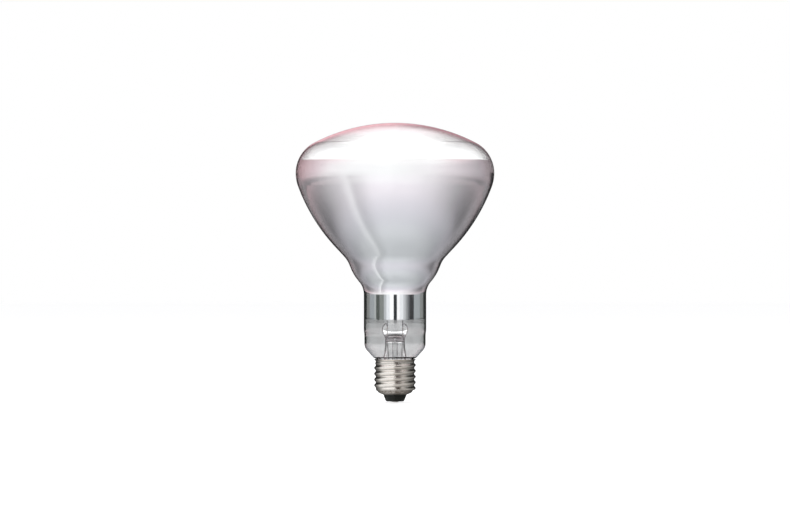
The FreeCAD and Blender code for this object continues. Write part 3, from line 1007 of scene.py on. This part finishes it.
    def ground(self, tree: ShaderTree, place: Signal) -> Signal:
        """Return what reflections show of the floor at a place.

        Args:
            tree: The floor's tree.
            place: The place on the floor.

        Returns:
            The colour.
        """
        x, y, _ = tree.split(place)
        radius = (x * x + y * y) ** 0.5
        azimuth = self.azimuth(tree, place)
        around = self.round_about(tree, azimuth)
        turned = abs(azimuth - math.radians(self.middle))
        behind = tree.swing(turned, self.behind_turn)
        away = tree.rise(radius, *self.far_reach)
        near = self.near_floor(tree, radius, turned, behind)
        far = self.far_floor(tree, radius, turned, behind, around)
        shade = self.streak(tree, azimuth, away, tree.mix(away, near, far))
        open_side = 1.0 - tree.swing(abs(azimuth), self.open_turn)
        bright = tree.mix(self.floor_share * open_side, around, self.floor_glow)
        patched = self.patched(tree, azimuth) * tree.rise(radius, *self.patch_reach)
        bright = tree.mix(patched, bright, self.patch_tone)
        return tree.mix(self.from_inside(tree), bright, shade)

    def strength(self, tree: ShaderTree) -> Signal:
        """Return how much stronger a mirrored ray sees all this, to make up for the glass."""
        return 1.0 + self.from_inside(tree) * (self.gain - 1.0)


@dataclass
class Studio:
    """White room, pale floor, soft lamps, reflection panels and the camera."""

    surroundings: Surroundings = Surroundings()
    distance: float = 3.0
    frame_width: float = 0.4972
    centre_height: float = 0.0873
    sensor: float = 36.0
    floor_half: float = 8.0
    floor_drop: float = 0.0004
    floor_tone: Colour = (0.62, 0.62, 0.63)
    floor_lift: float = 0.62
    floor_lift_inside: float = 0.2
    shelf_height: float = 0.079
    shelf_start: float = 0.25
    shelf_sides: int = 48
    room_light: float = 0.62
    low_backdrop: float = 0.7
    high_backdrop: float = 2.1
    backdrop_rise: Span = (0.0, 0.02)
    lamps: tuple[Lamp, ...] = (
        Lamp("key_left", (-1.3, -1.6, 1.5), 1.2, 16.0),
        Lamp("key_right", (1.5, -1.4, 1.3), 1.2, 12.0),
        Lamp("top", (0.0, 0.3, 2.2), 1.6, 16.0),
    )
    card_step: float = 2.0
    cards: tuple[Card, ...] = (
        Card("neck_slit", 1.0, 12.6, (0.03, 0.032, 0.035)),
        Card("neck_left_pale", -26.5, 13.0, (0.72, 0.745, 0.77)),
        Card("neck_left_fade", -38.0, 10.0, (0.44, 0.46, 0.475)),
        Card("neck_left_soft", -52.0, 18.0, (0.2, 0.215, 0.205)),
        Card("neck_left_dark", -69.0, 16.0, (0.085, 0.094, 0.088)),
        Card("neck_left_gleam", -81.5, 9.0, (0.39, 0.41, 0.41)),
        Card("neck_left_side", -98.7, 26.5, (0.31, 0.33, 0.345)),
        Card("neck_left_rear", -123.0, 22.0, (0.21, 0.215, 0.21)),
        Card("neck_left_back", -157.0, 46.0, (0.02, 0.022, 0.021)),
        Card("neck_right_pale", 25.0, 14.0, (0.73, 0.745, 0.77)),
        Card("neck_right_fade", 36.5, 9.0, (0.49, 0.5, 0.52)),
        Card("neck_right_soft", 45.0, 8.0, (0.29, 0.3, 0.31)),
        Card("neck_right_dim", 53.0, 8.0, (0.14, 0.145, 0.155)),
        Card("neck_right_dark", 66.8, 19.6, (0.045, 0.046, 0.048)),
        Card("neck_right_blue", 92.8, 32.4, (0.32, 0.34, 0.35)),
        Card("neck_right_side", 121.5, 25.0, (0.23, 0.24, 0.235)),
        Card("neck_right_back", 157.0, 46.0, (0.03, 0.032, 0.03)),
    )

    def build(self) -> None:
        """Make everything round the lamp."""
        self.world()
        self.floor()
        self.shelf()
        for lamp in self.lamps:
            self.lamp(lamp)
        for card in self.cards:
            self.card(card)
        self.camera()
        bpy.context.scene.view_settings.view_transform = "Standard"

    @staticmethod
    def reflected(tree: ShaderTree) -> Signal:
        """Return 1 for a ray that has been mirrored on its way, else 0."""
        depth = tree.node("ShaderNodeLightPath", output="Glossy Depth")
        return tree.math(Step.MINIMUM, depth, 1.0)

    @staticmethod
    def seen(tree: ShaderTree) -> Signal:
        """Tell rays that are looked along from those that only bring light.

        Args:
            tree: The tree in use.

        Returns:
            1 for a ray from the camera, a mirror or glass, else 0.
        """
        ray = tree.node("ShaderNodeLightPath", output="Is Camera Ray")
        either = tree.math(Step.MAXIMUM, ray, ray.side("Is Glossy Ray"))
        return tree.math(Step.MAXIMUM, either, ray.side("Is Transmission Ray"))

    def world(self) -> None:
        """Light the room evenly, white to the camera and through glass."""
        world = bpy.data.worlds.new("white_room")
        world.use_nodes = True
        bpy.context.scene.world = world
        tree = ShaderTree(world.node_tree)
        heading = tree.node("ShaderNodeTexCoord", output="Generated")
        mirrored = self.reflected(tree)
        colour = tree.mix(mirrored, WHITE, self.surroundings.sky(tree, heading))
        seen = self.seen(tree)
        strength = self.room_light + seen * (1.0 - self.room_light)
        inside = self.surroundings.from_inside(tree)
        strength = strength + mirrored * inside * (self.surroundings.gain - 1.0)
        upward = tree.rise(tree.split(heading)[2], *self.backdrop_rise)
        through = self.low_backdrop + upward * (self.high_backdrop - self.low_backdrop)
        strength = strength + seen * (1.0 - mirrored) * inside * (through - 1.0)
        sky = tree.node("ShaderNodeBackground", sockets={"Color": colour, "Strength": strength})
        tree.node("ShaderNodeOutputWorld", sockets={"Surface": sky})

    def floor(self) -> None:
        """Lay the pale floor under the contact."""
        half = self.floor_half
        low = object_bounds()[0][2] - self.floor_drop
        rows = [[(-half, -half, low), (half, -half, low)], [(-half, half, low), (half, half, low)]]
        floor = MeshMaker.grid("floor", rows)
        made, tree = new_material("pale_floor")
        matt = tree.principled(Base_Color=self.floor_tone, Roughness=0.9, Specular_IOR_Level=0.1)
        inside = self.surroundings.from_inside(tree)
        glow = self.floor_lift + inside * (self.floor_lift_inside - self.floor_lift)
        lift = tree.node("ShaderNodeEmission", sockets={"Color": WHITE, "Strength": glow})
        lifted = tree.node("ShaderNodeAddShader", sockets={0: matt, 1: lift})
        plain = tree.node("ShaderNodeMixShader", sockets={0: self.seen(tree), 1: matt, 2: lifted})
        shader = tree.node("ShaderNodeMixShader", sockets={
            0: self.reflected(tree),
            1: plain,
            2: self.mirrored_floor(tree),
        })
        tree.node("ShaderNodeOutputMaterial", sockets={"Surface": shader})
        floor.data.materials.append(made)
        floor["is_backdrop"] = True

    def mirrored_floor(self, tree: ShaderTree) -> Signal:
        """Build what reflections show in place of the floor.

        Args:
            tree: The tree in use.

        Returns:
            The glow.
        """
        sockets = {
            "Color": self.surroundings.ground(tree, tree.place()),
            "Strength": self.surroundings.strength(tree),
        }
        return tree.node("ShaderNodeEmission", sockets=sockets)

    def shelf(self) -> None:
        """Lay a ring above the neck's panels, so that the bowl mirrors a floor there instead."""
        turns = [2 * math.pi * step / self.shelf_sides for step in range(self.shelf_sides)]
        rows = [
            [(radius * math.cos(turn), radius * math.sin(turn), self.shelf_height) for turn in turns]
            for radius in (self.shelf_start, self.floor_half)
        ]
        ring = MeshMaker.grid("mirrored_shelf", rows, round_rows=True, ends=False)
        self.paint_unseen(ring, self.mirrored_floor)

    def paint_unseen(self, sheet: bpy.types.Object, glow: Callable[[ShaderTree], Signal]) -> None:
        """Let a sheet glow in mirrored rays and be clear air to all others.

        Args:
            sheet: The sheet.
            glow: Builds its light.
        """
        made, tree = new_material(sheet.name + "_paint")
        sockets = {0: self.reflected(tree), 1: tree.node("ShaderNodeBsdfTransparent"), 2: glow(tree)}
        shader = tree.node("ShaderNodeMixShader", sockets=sockets)
        tree.node("ShaderNodeOutputMaterial", sockets={"Surface": shader})
        sheet.data.materials.append(made)
        sheet.visible_camera = False
        sheet.visible_diffuse = False
        sheet.visible_shadow = False
        sheet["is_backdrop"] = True

    def lamp(self, lamp: Lamp) -> None:
        """Hang a lamp so that it faces the object and isn't mirrored in it.

        Args:
            lamp: The lamp.
        """
        data = bpy.data.lights.new(lamp.name, "AREA")
        data.size = lamp.size
        data.energy = lamp.power
        made = bpy.data.objects.new(lamp.name, data)
        made.location = lamp.place
        aim = Vector((0.0, 0.0, self.centre_height)) - Vector(lamp.place)
        made.rotation_euler = aim.to_track_quat("-Z", "Y").to_euler()
        made.visible_glossy = False
        made.visible_transmission = False
        bpy.context.scene.collection.objects.link(made)

    def card(self, card: Card) -> None:
        """Stand a panel up on an arc round the object.

        Args:
            card: The panel.
        """
        steps = max(2, round(card.width / self.card_step))
        turns = [math.radians(card.azimuth + card.width * (i / steps - 0.5)) for i in range(steps + 1)]
        rows = [
            [(card.distance * math.sin(turn), -card.distance * math.cos(turn), z) for turn in turns]
            for z in (card.low, card.high)
        ]
        panel = MeshMaker.grid(card.name, rows)

        def glow(tree: ShaderTree) -> Signal:
            """Return the panel's light."""
            strength = self.surroundings.strength(tree)
            return tree.node("ShaderNodeEmission", sockets={"Color": card.tone, "Strength": strength})

        self.paint_unseen(panel, glow)

    def camera(self) -> None:
        """Stand the camera level in front, as the photograph was taken."""
        data = bpy.data.cameras.new("camera")
        data.sensor_width = self.sensor
        data.lens = self.sensor * self.distance / self.frame_width
        data.clip_end = 50.0
        made = bpy.data.objects.new("camera", data)
        made.location = (0.0, -self.distance, self.centre_height)
        made.rotation_euler = (math.radians(90), 0.0, 0.0)
        bpy.context.scene.collection.objects.link(made)
        bpy.context.scene.camera = made


def main() -> None:
    """Build the scene piece by piece and log what was dressed and built."""
    logging.basicConfig(level=logging.INFO, format="%(name)s: %(message)s")
    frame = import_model()
    nodes = frame["nodes"]
    Studio().build()
    for part in (Envelope(), Stem(), Cap()):
        for name in part.dress(nodes):
            LOG.info("dressed %s", name)
    coil = Filament().build()
    LOG.info("built %s with %d faces", coil.name, len(coil.data.polygons))


if __name__ == "__main__":
    main()
